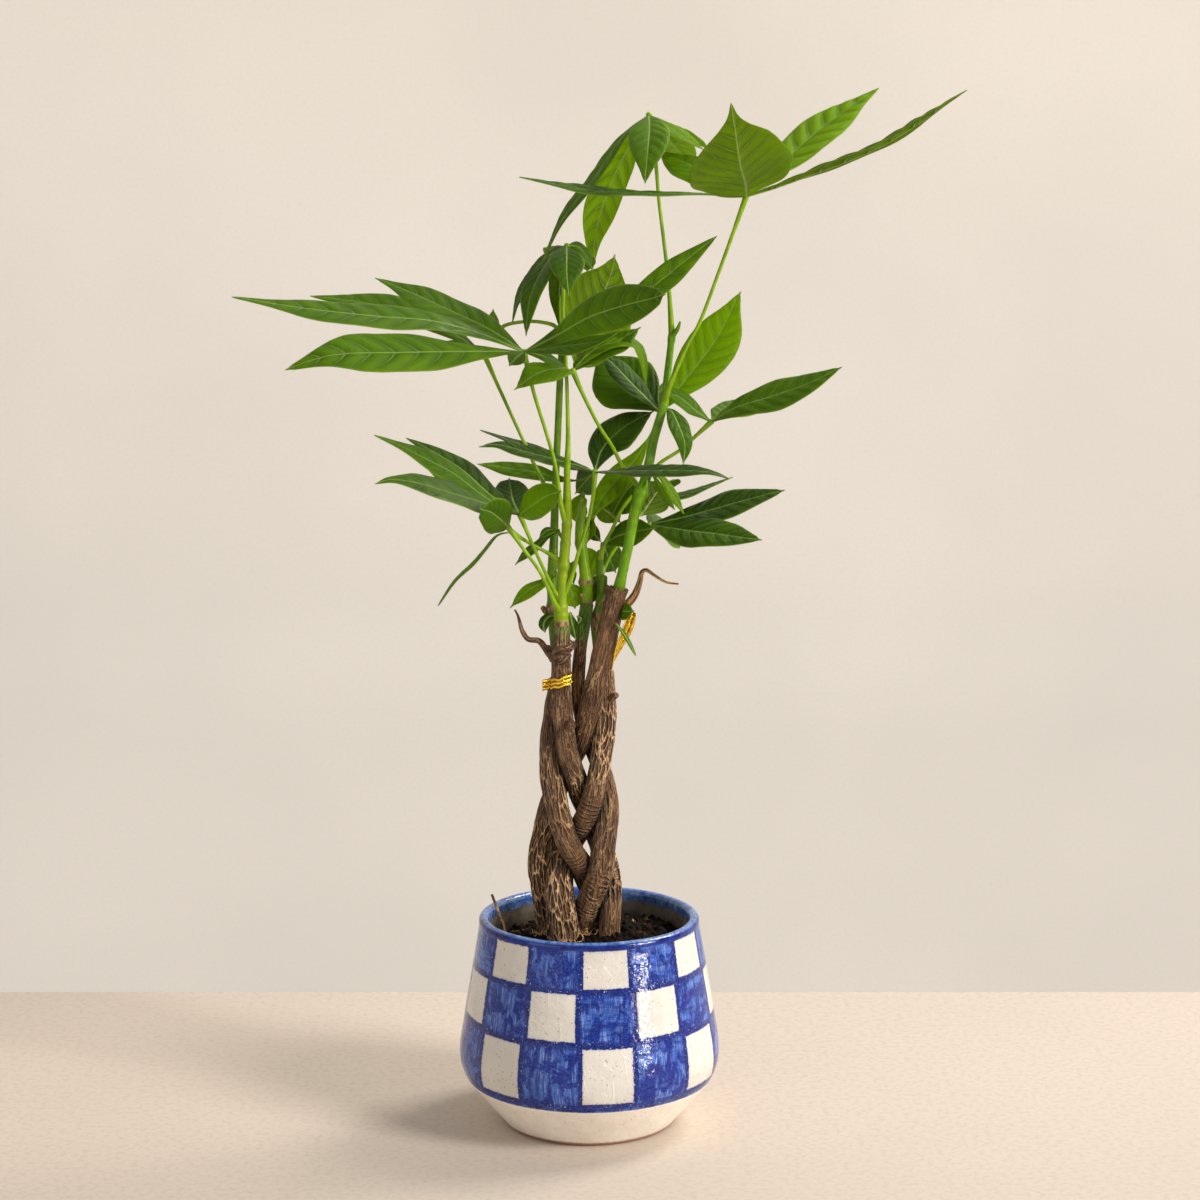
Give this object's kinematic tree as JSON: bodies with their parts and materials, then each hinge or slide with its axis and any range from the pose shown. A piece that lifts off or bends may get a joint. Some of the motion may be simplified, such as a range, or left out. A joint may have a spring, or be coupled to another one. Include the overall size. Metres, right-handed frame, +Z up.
{
  "type": "potted money tree",
  "caption": "Braided-trunk money tree with palmate compound leaves on green shoots, planted in a round hand-painted checked pot.",
  "frame": {"origin": "middle of the pot's flat foot", "axes": "+Z up along the pot's axis and the trunks, +X to the picture's right, -Y towards the picture's viewer"},
  "size_m": [0.3902, 0.2192, 0.5834],
  "materials": {
    "glazed_pot": "glossy hand-painted blue and cream check glaze with a bare foot",
    "potting_soil": "matte, crumbly",
    "bark": "matte, fissured grey-brown bark",
    "green_shoot": "satin living green stem",
    "leaf": "satin living green leaf",
    "gold_foil": "bright crinkled foil"
  },
  "bodies": {
    "root": {"pot": "glazed_pot", "trunk_a": "bark", "trunk_b": "bark", "trunk_c": "bark", "trunk_d": "bark", "trunk_e": "bark", "shoot_a": "green_shoot", "shoot_b": "green_shoot", "shoot_c": "green_shoot", "shoot_d": "green_shoot", "shoot_e": "green_shoot", "soil_twig": "bark", "soil": "potting_soil", "tie_left": "gold_foil", "tie_right": "gold_foil", "leaf_crown_right": "leaf", "leaf_crown_top": "leaf", "leaf_left_wide": "leaf", "leaf_middle": "leaf", "leaf_behind": "leaf", "leaf_heart": "leaf", "leaf_right": "leaf", "leaf_low_left": "leaf", "leaf_low_left_lower": "leaf", "leaf_thin_left": "leaf", "leaf_right_pale": "leaf", "leaf_right_low": "leaf", "leaf_right_inner": "leaf", "leaf_umbrella": "leaf", "leaf_left_back": "leaf", "leaf_left_curved": "leaf", "leaf_short_left": "leaf", "leaf_lowest": "leaf", "leaf_young": "leaf"}
  },
  "joints": []
}
